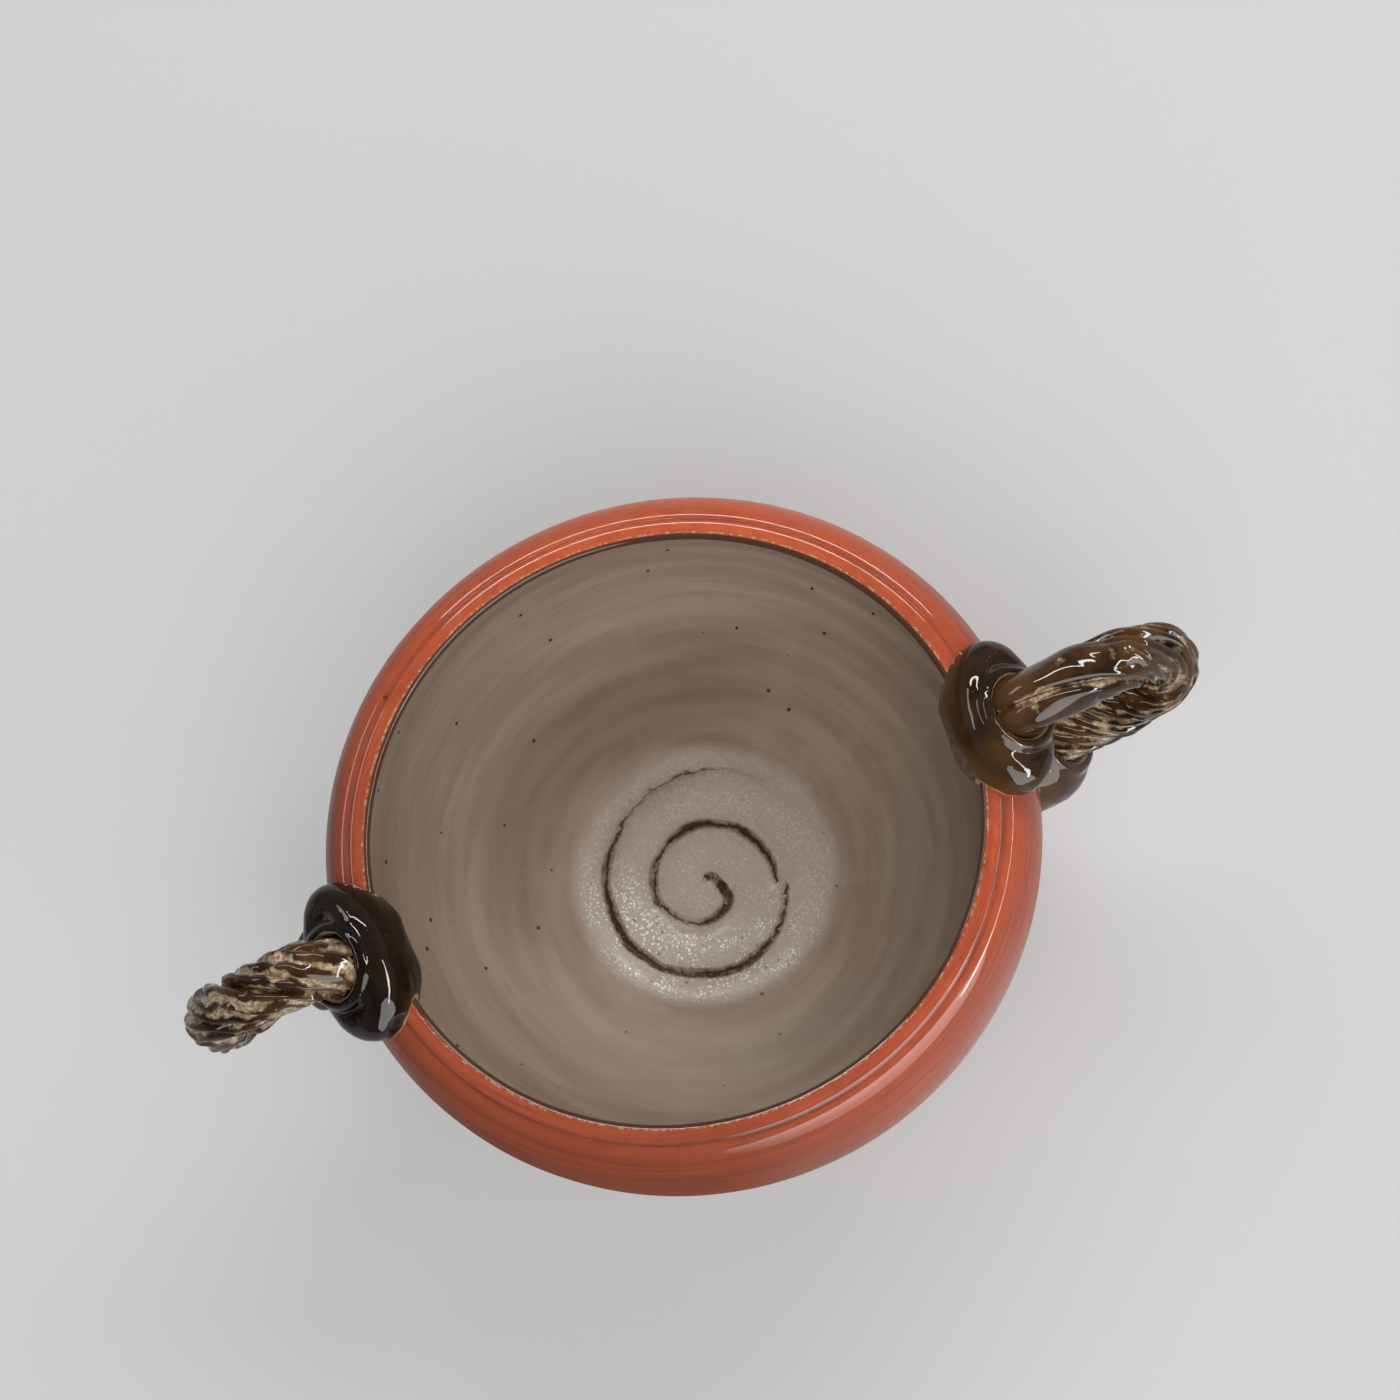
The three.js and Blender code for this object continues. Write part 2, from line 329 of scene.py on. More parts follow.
def innerWall(steps):
    b = bowlShape
    bellyZ = b["height"] - b["bellyDrop"]
    mouthZ = b["height"] - b["lipRound"]
    inside = b["bellyRadius"] - b["wallThickness"]
    upper = bezier(
        steps,
        (b["mouthRadius"], 0, mouthZ),
        (inside, 0, (mouthZ + bellyZ) / 2),
        (inside, 0, bellyZ),
    )
    lower = bezier(
        steps,
        (inside, 0, bellyZ),
        (inside, 0, between(bellyZ, b["floorZ"], ellipseArm)),
        (inside * ellipseArm, 0, b["floorZ"]),
        (0, 0, b["floorZ"]),
    )
    return upper[1:] + lower[1:]


def footLine(steps):
    b = bowlShape
    hollow = b["footRadius"] - b["footDraft"] - b["footWidth"]
    rim = b["footRadius"] - b["footDraft"]
    soft = b["footRound"]
    corners = [
        (0, 0, b["footRecess"]),
        (hollow - soft, 0, b["footRecess"]),
        (hollow, 0, b["footRecess"] - soft),
        (hollow, 0, soft),
        (hollow + soft, 0, 0),
        (rim - soft, 0, 0),
        (rim, 0, soft),
        (b["footRadius"], 0, b["footHeight"]),
    ]
    bends = {1: (hollow, 0, b["footRecess"]), 3: (hollow, 0, 0), 5: (rim, 0, 0)}
    line = [Vector(corners[0])]
    for index, (first, second) in enumerate(zip(corners, corners[1:])):
        middle = [bends[index]] if index in bends else []
        line += bezier(steps, first, *middle, second)[1:]
    return line


def bowlGap(spot):
    b = bowlShape
    if spot.z > b["height"] - 3 and spot.x < b["grooveRadius"] + 2:
        return b["lipGap"]
    onFloor = spot.x < b["floorReach"] and spot.z > b["footRecess"] + 2
    return b["floorGap"] if onFloor else b["wallGap"]


def ovalPull(radius, z):
    b = bowlShape
    return b["mouthOval"] * (z / b["height"]) ** 2 * radius / b["mouthRadius"]


def drawOval(piece):
    for corner in piece.data.vertices:
        spot = corner.co / mm
        radius = math.hypot(spot.x, spot.y)
        turn = math.atan2(spot.y, spot.x)
        pull = ovalPull(radius, spot.z) * math.cos(2 * turn)
        corner.co += Vector((math.cos(turn), math.sin(turn), 0)) * pull * mm


def spunLine(name, line, steps):
    clearSelection()
    bpy.ops.mesh.primitive_circle_add(vertices=3, radius=mm)
    piece = fresh(name)
    bpy.ops.object.mode_set(mode="EDIT")
    bpy.ops.mesh.select_all(action="SELECT")
    bpy.ops.mesh.merge(type="CENTER")
    bpy.ops.transform.translate(value=line[0] * mm)
    for before, after in zip(line, line[1:]):
        bpy.ops.mesh.extrude_region_move(TRANSFORM_OT_translate={"value": (after - before) * mm})
    bpy.ops.mesh.select_all(action="SELECT")
    bpy.ops.mesh.spin(steps=steps, angle=2 * math.pi, center=(0, 0, 0), axis=(0, 0, 1))
    bpy.ops.mesh.select_all(action="SELECT")
    bpy.ops.mesh.remove_doubles(threshold=0.003 * mm)
    bpy.ops.mesh.normals_make_consistent(inside=False)
    bpy.ops.object.mode_set(mode="OBJECT")
    return piece


def spiralPoints(stops):
    points = []
    for (turnA, radiusA), (turnB, radiusB) in zip(stops, stops[1:]):
        count = max(int((turnB - turnA) * 600), 2)
        for step in range(count):
            share = step / count
            turn = between(turnA, turnB, share)
            angle = math.radians(throwingSpiral["start"]) + 2 * math.pi * turn
            radius = between(radiusA, radiusB, share)
            points.append(Vector((radius * math.cos(angle), radius * math.sin(angle), 0)))
    return points


def runningLengths(line):
    lengths = [0]
    for before, after in zip(line, line[1:]):
        lengths.append(lengths[-1] + (after - before).length)
    return lengths


def evenly(line, count):
    lengths = runningLengths(line)
    spots = []
    index = 0
    for step in range(count):
        goal = lengths[-1] * step / (count - 1)
        while index < len(line) - 2 and lengths[index + 1] < goal:
            index += 1
        span = lengths[index + 1] - lengths[index]
        spots.append(line[index].lerp(line[index + 1], min((goal - lengths[index]) / span, 1)))
    return spots


def nearest(points):
    tree = kdtree.KDTree(len(points))
    for index, spot in enumerate(points):
        tree.insert(spot, index)
    tree.balance()
    return tree


def ringWave(where, pitch, start):
    return 0.5 + 0.5 * math.sin(2 * math.pi * where / pitch + start)


def strayed(spot, scale, much):
    return noise.noise_vector(spot * scale) * much


def buildBowl():
    b = bowlShape
    s = throwingSpiral
    fine = b["profileSteps"]
    lipOut, lipIn = lipLine(fine // 10)
    foot = footLine(fine // 20)
    outside = foot + outerWall(fine)[1:] + lipOut
    inside = [lipOut[-1]] + lipIn + innerWall(fine)
    outside = respaced(outside, bowlGap)
    inside = respaced(inside, bowlGap)
    line = outside + inside[1:]
    crest = len(outside) - 1
    lengths = runningLengths(line)
    along = [length - lengths[crest] for length in lengths]
    piece = spunLine("bowlBody", line, b["around"])

    rings = nearest(line)
    spiral = spiralPoints(s["outer"]) + spiralPoints(s["inner"])
    spiralTree = nearest(spiral)
    profile, groove, soft, ringsIn, ringsOut = [], [], [], [], []
    offsets, nears, strokes = [], [], []
    for corner in piece.data.vertices:
        spot = corner.co / mm
        radius = math.hypot(spot.x, spot.y)
        turn = math.atan2(spot.y, spot.x)
        where = along[rings.find((radius, 0, spot.z))[1]]
        profile.append(where)
        cut = swell = near = pen = 0
        offset = s["softWidth"]
        if where > 0 and radius < b["floorReach"]:
            flat = Vector((spot.x, spot.y, 0))
            hand = strayed(flat, *s["drift"]) + strayed(flat, *s["tremble"])
            found = spiralTree.find(flat + Vector((hand.x, hand.y, 0)))
            share = found[1] / len(spiral)
            strength = ease(share, 0, s["deepFrom"]) * 0.65 + 0.35
            press = noise.noise((share * s["changes"], 4.7, 0))
            stroke = s["width"] * (1.0 + 0.6 * press)
            cut = math.exp(-(found[2] / stroke) ** 2) * strength
            near = math.exp(-(found[2] / s["softWidth"]) ** 2)
            swell = near * strength
            offset = math.copysign(found[2], radius - found[0].length)
            pen = s["pen"] * (1.0 + 0.9 * press) * ease(share, s["inkFrom"], s["deepFrom"])
        offsets.append(offset)
        nears.append(near)
        strokes.append(pen)
        groove.append(cut)
        soft.append(swell)
        wander = noise.noise((math.cos(turn), math.sin(turn), where * 0.06))
        wave = ringWave(where, b["ringPitch"], turn + 2.4 * wander)
        ringsIn.append(wave * ease(where, 6, 20) * ease(radius, 18, 30))
        fineWave = ringWave(where, b["fineRingPitch"], turn + 5 * wander)
        ringsOut.append(fineWave * ease(-where, 6, 14) * ease(spot.z, 9, 14))
    marks = {
        "toolGroove": (groove, s["depth"]),
        "softGroove": (soft, s["softDepth"]),
        "insideRings": (ringsIn, b["insideRings"]),
        "outsideRings": (ringsOut, b["outsideRings"]),
    }
    for name, (weights, depth) in marks.items():
        paintWeights(piece, name, weights)
    drawOval(piece)
    for name, (weights, depth) in marks.items():
        applied(piece, "DISPLACE", strength=-depth * mm, mid_level=0, vertex_group=name)
    paintValues(piece, "alongProfile", profile)
    paintValues(piece, "spiralOffset", offsets)
    paintValues(piece, "spiralNear", nears)
    paintValues(piece, "spiralPen", strokes)
    return piece


bowlColours = {
    "flame": (0.62, 0.120, 0.044),
    "ember": (0.50, 0.095, 0.036),
    "brick": (0.31, 0.051, 0.020),
    "toast": (0.075, 0.026, 0.012),
    "tan": (0.54, 0.34, 0.19),
    "speck": (0.035, 0.016, 0.010),
    "mushroom": (0.248, 0.178, 0.132),
    "mushroomPale": (0.345, 0.265, 0.206),
    "floorPale": (0.415, 0.356, 0.305),
    # white of the painted sparkles on the floor
    "sparkleWhite": (0.86, 0.84, 0.80),
    "grooveBrown": (0.046, 0.024, 0.013),
    "umber": (0.13, 0.080, 0.050),
    "bareClay": (0.30, 0.19, 0.12),
}


def bowlGlaze():
    c = bowlColours
    g = newGlaze("bowlGlaze", **{"Coat Roughness": 0.05, "Coat IOR": 1.42, "Specular IOR Level": 0.13})
    place = g.place()
    along = g.value("alongProfile")
    x, y, z = (g.part(place, axis) for axis in range(3))
    radius = (x * x + y * y) ** 0.5
    flat = g.join(x, y, 0.0)
    around = g.node("ShaderNodeVectorMath", {"operation": "NORMALIZE"}, {0: flat})
    east, north = g.part(around, 0), g.part(around, 1)

    # fine wheel streaks run round the pot, slow clouds drift over it
    streak = g.grain(g.join(east * 2.5, north * 2.5, along * 1.1), 1.0, 5.0, 0.62)
    broad = g.grain(g.join(east * 1.6, north * 1.6, along * 0.16), 1.0, 3.0)
    cloud = g.grain(place, 26.0, 4.0)
    fine = g.grain(place, 1400.0, 2.0)
    speckle = g.dots(place, 420.0)
    bigSpeck = g.dots(place, 82.0)

    mottle = g.grain(place, 420.0, 4.0, 0.7)
    outside = g.blend(g.step(streak * 0.65 + mottle * 0.35, 0.32, 0.62), c["brick"], c["ember"])
    outside = g.blend(g.step(mottle, 0.48, 0.68) * 0.45, outside, c["brick"])
    outside = g.blend((1 - g.step(mottle, 0.30, 0.44)) * 0.35, outside, c["flame"])
    outside = g.blend(g.step(cloud, 0.42, 0.70) * 0.35, outside, c["brick"])
    burnt = g.grain(g.join(east * 34.0, north * 34.0, along * 1.9), 1.0, 4.0, 0.6)
    outside = g.blend(g.step(burnt, 0.56, 0.70) * g.step(broad, 0.40, 0.62) * 0.45, outside, c["toast"])
    freckle = (1 - g.step(speckle, 0.06, 0.16)) * g.step(fine, 0.45, 0.6)
    outside = g.blend(freckle * 0.7, outside, c["toast"])
    outside = g.blend(1 - g.step(bigSpeck, 0.030, 0.048), outside, c["speck"])

    shadedSide = g.step(east * 0.87 + north * 0.50 + (cloud - 0.5) * 0.4, 0.0, 0.8)  # painted shade: one side of the pot is darker, as if turned away from the light
    matt = g.step(east * 0.35 + north * 0.94, 0.50, 0.92)  # and part of it less glossy
    shine = g.step(north * 0.91 - east * 0.41, 0.80, 0.97)
    rim = g.band(along, -5.0, 3.0, 1.0)
    # painted shade: the shaded side is blended towards dark toast, more on the lower belly than near the rim
    outside = g.blend(shadedSide * (0.28 + 0.32 * (1 - g.step(along, -16.0, -3.0))), outside, c["toast"])
    # painted light: the side facing the key lamp is blended towards the brighter flame red
    outside = g.blend(g.step(east * -0.35 - north * 0.94, 0.6, 1.0) * 0.5, outside, c["flame"])
    glow = g.band(along, -6.5, -3.4, 1.2)
    outside = g.blend(glow * 0.5, outside, c["ember"])

    outside = g.blend(rim * g.step(g.grain(place, 260.0, 3.0), 0.44, 0.64) * 0.34, outside, c["brick"])

    edgeNoise = g.grain(g.join(east * 60.0, north * 60.0, along * 1.5), 1.0, 3.0)
    wander = along + (edgeNoise - 0.5) * 0.7
    line = g.band(wander, -3.2, -1.9, 0.42) * (0.2 + 0.8 * g.step(broad, 0.38, 0.62))
    stainAndShade = g.band(along + (cloud - 0.5) * 3.0, -8.0, -2.4, 1.4)  # a brown band below the bead: thinned glaze all round, and painted shade on the shaded side
    outside = g.blend(stainAndShade * (0.06 + shadedSide * 0.30), outside, c["toast"])
    outside = g.blend(line * 0.55, outside, c["toast"])
    outside = g.blend(line * g.step(edgeNoise, 0.64, 0.74) * 0.4, outside, c["tan"])
    edge = g.band(wander, 0.80, 2.75, 0.18)
    # pale tan marks just inside the crest: partly the clay's own flecks, partly a painted highlight along
    # the crest
    tanFleckAndGlint = g.band(wander, 0.50, 0.90, 0.13) * g.step(edgeNoise, 0.48, 0.60)

    ringTone = g.grain(g.join(east * 1.2, north * 1.2, along * 0.22), 1.0, 4.0)
    run = g.grain(g.join(east * 5.0, north * 5.0, along * 0.012), 1.0, 2.0)
    inside = g.blend(g.step(ringTone, 0.26, 0.76), c["mushroom"], c["mushroomPale"])
    inside = g.blend(g.step(run, 0.52, 0.72) * 0.4, inside, c["mushroomPale"])
    inside = g.blend((1 - g.step(speckle, 0.04, 0.10)) * 0.35, inside, c["toast"])
    inside = g.blend(1 - g.step(g.dots(place, 150.0), 0.045, 0.075), inside, c["speck"])
    ringed = g.band(radius, 0.030, 0.046, 0.006)
    inside = g.blend(ringed * g.step(east * 0.415 - north * 0.91, 0.0, 0.9) * 0.42, inside, c["umber"])
    inside = g.blend(ringed * g.step(east * 0.35 + north * 0.94, 0.3, 1.0) * 0.30, inside, c["floorPale"])
    pool = 1 - g.step(radius + (cloud - 0.5) * 0.004, 0.0235, 0.0285)
    inside = g.blend(pool * 0.9, inside, c["floorPale"])
    # painted highlights: white sparkles on one side of the pooled floor, a faint painted sheen under them,
    # and dark specks among them
    sparkleBand = g.step(east * 0.56 + north * 0.83, -0.2, 0.9) * g.band(radius, 0.0125, 0.0250, 0.003)
    paintedSparkle = (1 - g.step(g.dots(place, 1450.0), 0.24, 0.46)) * g.step(g.grain(place, 230.0, 2.0), 0.38, 0.54)
    inside = g.blend(sparkleBand * pool * 0.12, inside, c["sparkleWhite"])
    inside = g.blend(paintedSparkle * (0.16 + sparkleBand * 0.84) * pool, inside, c["sparkleWhite"])
    inside = g.blend((1 - g.step(speckle, 0.10, 0.20)) * sparkleBand * pool * 0.6, inside, c["toast"])
    torn = g.grain(place, 620.0, 3.0, 0.7)
    near, pen = g.value("spiralNear"), g.value("spiralPen")
    shaky = g.value("spiralOffset") + (g.grain(place, 330.0, 2.0) - 0.5) * 0.45
    off = g.node("ShaderNodeMath", {"operation": "ABSOLUTE"}, {0: shaky})
    onLine = g.step(near, 0.55, 0.75)
    halo = (1 - g.step(off - pen * 1.6, -0.15, 1.0)) * g.step(pen, 0.05, 0.20)
    core = (1 - g.step(off - pen + (torn - 0.5) * 0.5, -0.14, 0.20)) * g.step(pen, 0.0, 0.10)
    inside = g.blend(near * g.step(cloud, 0.35, 0.62) * 0.5, inside, c["mushroom"])
    inside = g.blend(halo * onLine * 0.6, inside, c["umber"])
    inside = g.blend(core * onLine, inside, c["grooveBrown"])

    isInside = g.step(wander, 2.3, 2.7)
    colour = g.blend(isInside, outside, inside)
    colour = g.blend(edge, colour, c["toast"])
    # partly real tan flecks, partly a painted highlight along the crest
    colour = g.blend(tanFleckAndGlint * 0.75, colour, c["tan"])
    bare = 1 - g.step(z + (cloud - 0.5) * 0.002, 0.0012, 0.0018)
    underneath = (1 - g.step(radius, 0.0318, 0.0322)) * (1 - g.step(z, 0.0075, 0.0085))
    bare = g.node("ShaderNodeMath", {"operation": "MAXIMUM"}, {0: bare, 1: underneath})
    colour = g.blend(bare, colour, c["bareClay"])

    satin = g.between(isInside, 0.85, 0.78) - pool * isInside * 0.60
    g.feed("Base Color", colour)
    g.feed("Roughness", g.between(bare, satin + (broad - 0.5) * 0.12, 0.85))
    gloss = 0.40 + rim * 0.40 + shine * 0.45 - matt * (1 - rim) * 0.38
    g.feed("Coat Weight", g.between(bare, g.between(isInside, gloss, 0.0), 0.0))
    pits = g.step(g.dots(place, 950.0), 0.08, 0.46)
    crazed = pool * isInside * g.step(cloud, 0.30, 0.52)
    height = streak * 0.22 + mottle * 0.10 + fine * 0.15
    height = height + pits * (0.08 + crazed * 1.1) + torn * (0.06 + crazed * 1.2)
    g.feed("Normal", g.relief(height, 0.10))
    return g.material


bowlBody = buildBowl()
finishPiece(bowlBody, "bowl", bowlGlaze())
print("bowl thrown,", len(bowlBody.data.polygons), "faces")


# Pads, mm and degrees

padShape = {
    "upper": {
        "length": {"right": 33, "left": 31.5},
        "breadth": {"right": 20, "left": 20},
        "rise": 5.6,
        "drop": 1.5,
        "tilt": 48,
        "lean": {"right": 1.2, "left": -1.4},
        "swell": (  # height of each ring of clay, and how far it stands out past the rim
            (-9, -4), (-2, -0.2), (2.0, 0), (3.6, -0.4), (4.9, -1.3),
            (5.7, -2.6), (6.1, -4.2), (5.9, -5.8), (5.1, -7.4), (4.9, -9),
        ),
    },
    "lower": {
        "length": {"right": 21.25, "left": 25},
        "breadth": {"right": 21.25, "left": 25},
        "rise": 13.5,
        "drop": 38,
        "tilt": 35,
        "lean": {"right": -4.5, "left": -2.2},
        "swell": (
            (-13, -8), (-5, -2.5), (2, -0.1), (8, 0),
            (10.6, -0.7), (12.6, -2.0), (13.9, -3.6), (14.4, -5.0),
        ),
    },
    "dome": 1.0,
    "collarWidth": 2.4,
    "collarRise": 1.2,
    "socketDepth": 2.5,
    "socketPress": 0.15,  # the clay is pressed this far into the rope
    "lapReach": 4,
    "lapDepth": 3.5,
    "sink": 0.15,  # pressed this far into the wall
    "voxel": 0.42,
    "lumps": 0.6,
    "lumpScale": 9,
    "amber": {"right": 0.1, "left": 0.65},  # how far the glaze breaks from black to amber
}

ropeShape = {
    "strands": 3,
    "radius": 6.4,
    "clearance": 0.3,
    "turns": 1.5,
    "reach": {"right": 34.5, "left": 38},
    "bow": {"right": 0, "left": 2.2},  # the loop leans this far to the side round its tip
    "tipDrop": 12.5,
    "upperPull": 11,
    "lowerPull": 10,
    "tipPull": 15,
    "coilSides": 72,
    "coilCuts": 14,  # the coil is cut across twice into this many plus one
    "outerShare": 0.76,  # this much of a strand's section is its outer face
    "sector": math.radians(59.4),  # half the angle that one strand fills
    "core": 0.2,
    "lobes": {"right": 3, "left": 4},
    "ridge": {"right": 1.45, "left": 1.0},
    "crown": {"right": 1.3, "left": 1.1},  # above 1 the grooves are wider than the ridges
    "seamDepth": 1.25,
    "seamWidth": 0.16,
    "lump": 0.55,  # uneven rolling
    "cream": {"right": 0.98, "left": 0.85},  # how much pale glaze pools between the ridges
    "twistEase": {"right": 1.0, "left": 1.8},
    "smoothUntil": {"right": -0.5, "left": 0.30},  # this share of the rope has hardly any ridges
}


def wallRadius(z):
    wall = outerWall(60)
    for low, high in zip(wall, wall[1:]):
        if high.z >= z:
            radius = between(low.x, high.x, (z - low.z) / (high.z - low.z))
            return radius + ovalPull(radius, z)
    return wall[-1].x


def padSeat(level, side):
    p = padShape[level]
    lean = math.radians(p["lean"][side])
    z = bowlShape["height"] - p["drop"]
    turn = Euler((0, math.radians(90 - p["tilt"]), lean), "XYZ").to_matrix().to_4x4()
    spot = Matrix.Rotation(lean, 4, "Z") @ Vector((wallRadius(z), 0, z))
    collarTop = p["rise"] + padShape["dome"] + padShape["collarRise"]
    return {
        "half": p["length"][side] / 2,
        "narrow": p["breadth"][side] / p["length"][side],
        "swell": p["swell"],
        "turn": turn,
        "at": spot,
        "out": turn.to_3x3() @ Vector((0, 0, 1)),
        "collarTop": collarTop,
        "socketFloor": collarTop - padShape["socketDepth"],
    }


def seatTool():
    b = bowlShape
    lipOut, lipIn = lipLine(6)
    lapZ = b["height"] - padShape["lapDepth"]
    edge = outerWall(26) + lipOut + lipIn + [spot for spot in innerWall(60) if spot.z > lapZ]
    shrunk = []
    for index, spot in enumerate(edge):
        before, after = edge[max(index - 1, 0)], edge[min(index + 1, len(edge) - 1)]
        way = (after - before).normalized()
        shrunk.append(spot - Vector((way.z, 0, -way.x)) * padShape["sink"])
    plug = b["mouthRadius"] - padShape["lapReach"]
    top = b["height"] + 40
    ends = [(shrunk[-1].x, 0, lapZ), (plug, 0, lapZ), (plug, 0, top), (0, 0, top)]
    line = [Vector((0, 0, b["footHeight"]))] + shrunk + [Vector(end) for end in ends]
    tool = spunLine("seatTool", line, 120)
    drawOval(tool)
    return tool


def selectWhere(piece, test):
    pick(piece)
    bpy.ops.object.mode_set(mode="EDIT")
    bpy.ops.mesh.select_mode(type="VERT")
    bpy.ops.mesh.select_all(action="DESELECT")
    bpy.ops.object.mode_set(mode="OBJECT")
    for corner in piece.data.vertices:
        corner.select = test(corner.co)
    bpy.ops.object.mode_set(mode="EDIT")


def standingCylinder(name, radius, low, high, sides):
    clearSelection()
    middle = (low + high) / 2 * mm
    bpy.ops.mesh.primitive_cylinder_add(
        vertices=sides, radius=radius * mm, depth=(high - low) * mm, location=(0, 0, middle)
    )
    made = fresh(name)
    bpy.ops.object.transform_apply(location=True, rotation=True, scale=True)
    return made


def buildPad(name, seat, turn, tool, lumps):
    p = padShape
    socket = ropeShape["radius"] - p["socketPress"]
    top = seat["collarTop"]
    rings = [(height, seat["half"] + more) for height, more in seat["swell"]]

    # a bun of clay, widest at the wall and rounded over towards the rope
    (low, first), (height, radius) = rings[:2]
    pad = standingCylinder(name, first, low, height, 72)
    selectWhere(pad, lambda spot: spot.z > (low + height) / 2 * mm)
    bpy.ops.transform.resize(value=(radius / first, radius / first, 1), center_override=(0, 0, 0))
    for (lastHeight, lastRadius), (height, radius) in zip(rings[1:], rings[2:]):
        step = (0, 0, (height - lastHeight) * mm)
        bpy.ops.mesh.extrude_region_move(TRANSFORM_OT_translate={"value": step})
        shrink = radius / lastRadius
        bpy.ops.transform.resize(value=(shrink, shrink, 1), center_override=(0, 0, 0))
    bpy.ops.mesh.select_all(action="SELECT")
    bpy.ops.transform.resize(value=(seat["narrow"], 1, 1), center_override=(0, 0, 0))

    # a soft lip is drawn up round the rope
    lipHigh = p["collarWidth"] / 2 + 0.15
    clearSelection()
    bpy.ops.mesh.primitive_torus_add(
        major_segments=64,
        minor_segments=20,
        major_radius=(socket + lipHigh) * mm,
        minor_radius=lipHigh * mm,
        location=(0, 0, (top - lipHigh) * mm),
    )
    collar = fresh(name + "Collar")
    bpy.ops.object.transform_apply(location=True, rotation=True, scale=True)
    hole = standingCylinder(name + "Hole", socket, seat["socketFloor"], top + 5, 64)
    applied(pad, "BOOLEAN", operation="UNION", object=collar, solver="EXACT")
    applied(pad, "REMESH", mode="VOXEL", voxel_size=p["voxel"] * mm)
    applied(pad, "SMOOTH", factor=0.5, iterations=4)
    applied(pad, "BOOLEAN", operation="DIFFERENCE", object=hole, solver="EXACT")
    pad.data.transform(Matrix.Translation(seat["at"] * mm) @ seat["turn"])
    applied(pad, "BOOLEAN", operation="DIFFERENCE", object=tool, solver="EXACT")
    applied(pad, "REMESH", mode="VOXEL", voxel_size=p["voxel"] * mm)
    applied(pad, "SMOOTH", factor=0.5, iterations=5)
    lap = bowlShape["mouthRadius"] * mm
    reach = [math.hypot(corner.co.x, corner.co.y) for corner in pad.data.vertices]
    paintWeights(pad, "lap", [1 - ease(far, lap - 1.5 * mm, lap + mm) for far in reach])
    applied(pad, "SMOOTH", factor=0.5, iterations=40, vertex_group="lap")
    applied(pad, "DISPLACE", texture=lumps, strength=p["lumps"] * mm, mid_level=0.5, texture_coords="LOCAL")
    pad.data.transform(Matrix.Rotation(turn, 4, "Z"))
    for extra in (collar, hole):
        bpy.data.objects.remove(extra)
    return pad


def ropePath(upper, lower, side):
    r = ropeShape
    reach = r["reach"][side]

    def along(seat, far):
        return seat["at"] + seat["out"] * far

    start, end = (along(seat, seat["socketFloor"] + r["clearance"]) for seat in (upper, lower))
    leave, enter = (along(seat, seat["collarTop"]) for seat in (upper, lower))
    tip = Vector((bowlShape["bellyRadius"] + reach - r["radius"], 0, bowlShape["height"] - r["tipDrop"]))
    above = Vector((0, r["bow"][side], r["tipPull"]))
    upperArm = bezier(400, leave, along(upper, upper["collarTop"] + r["upperPull"]), tip + above, tip)
    lowerArm = bezier(400, tip, tip - above, along(lower, lower["collarTop"] + r["lowerPull"]), enter)
    line = [start] + upperArm + lowerArm[1:] + [end]
    return evenly(line, (r["coilCuts"] + 1) ** 2 + 1)


def selectUpright(piece):
    bpy.ops.object.mode_set(mode="EDIT")
    bpy.ops.mesh.select_mode(type="EDGE")
    bpy.ops.mesh.select_all(action="DESELECT")
    bpy.ops.object.mode_set(mode="OBJECT")
    for edge in piece.data.edges:
        first, second = (piece.data.vertices[index].co for index in edge.vertices)
        edge.select = abs(first.z - second.z) > 0.001
    bpy.ops.object.mode_set(mode="EDIT")


def ridgedRope(share, angle, order, side, seed, inner):
    r = ropeShape
    lobes = r["lobes"][side]
    busy = ease(share, r["smoothUntil"][side] - 0.15, r["smoothUntil"][side] + 0.22)
    wander = 0.34 * noise.noise((share * 9, order * 2.7, seed))
    wander += 0.10 * noise.noise((share * 27, order * 5.1, seed))
    over = angle / r["sector"]
    across = min(max((over + 1) / 2 + wander * (1 - over ** 2), 0), 1)
    uneven = 0.8 + 1.5 * noise.noise((share * 9, across * lobes * 0.8, order * 7.1 + seed))
    ridge = abs(math.sin(math.pi * lobes * across)) ** r["crown"][side]
    seam = math.exp(-((1 - abs(angle) / r["sector"]) / r["seamWidth"]) ** 2)
    busy *= 1 - 0.75 * inner
    dip = (1 - ridge) * busy * max(uneven, 0.12)
    ringX, ringY = math.cos(angle + order * 2.1), math.sin(angle + order * 2.1)
    lump = noise.noise((share * 11, ringX * 1.4, ringY * 1.4 + seed))
    knead = noise.noise((share * 26, ringX * 2.6, ringY * 2.6 - seed))
    radius = r["radius"] - r["ridge"][side] * dip - r["seamDepth"] * seam
    radius -= r["lump"] * (0.5 + lump) + 0.35 * busy * max(knead, 0)
    return min(radius, r["radius"]), max(seam, (1 - ridge) ** 0.8 * busy) * r["cream"][side]


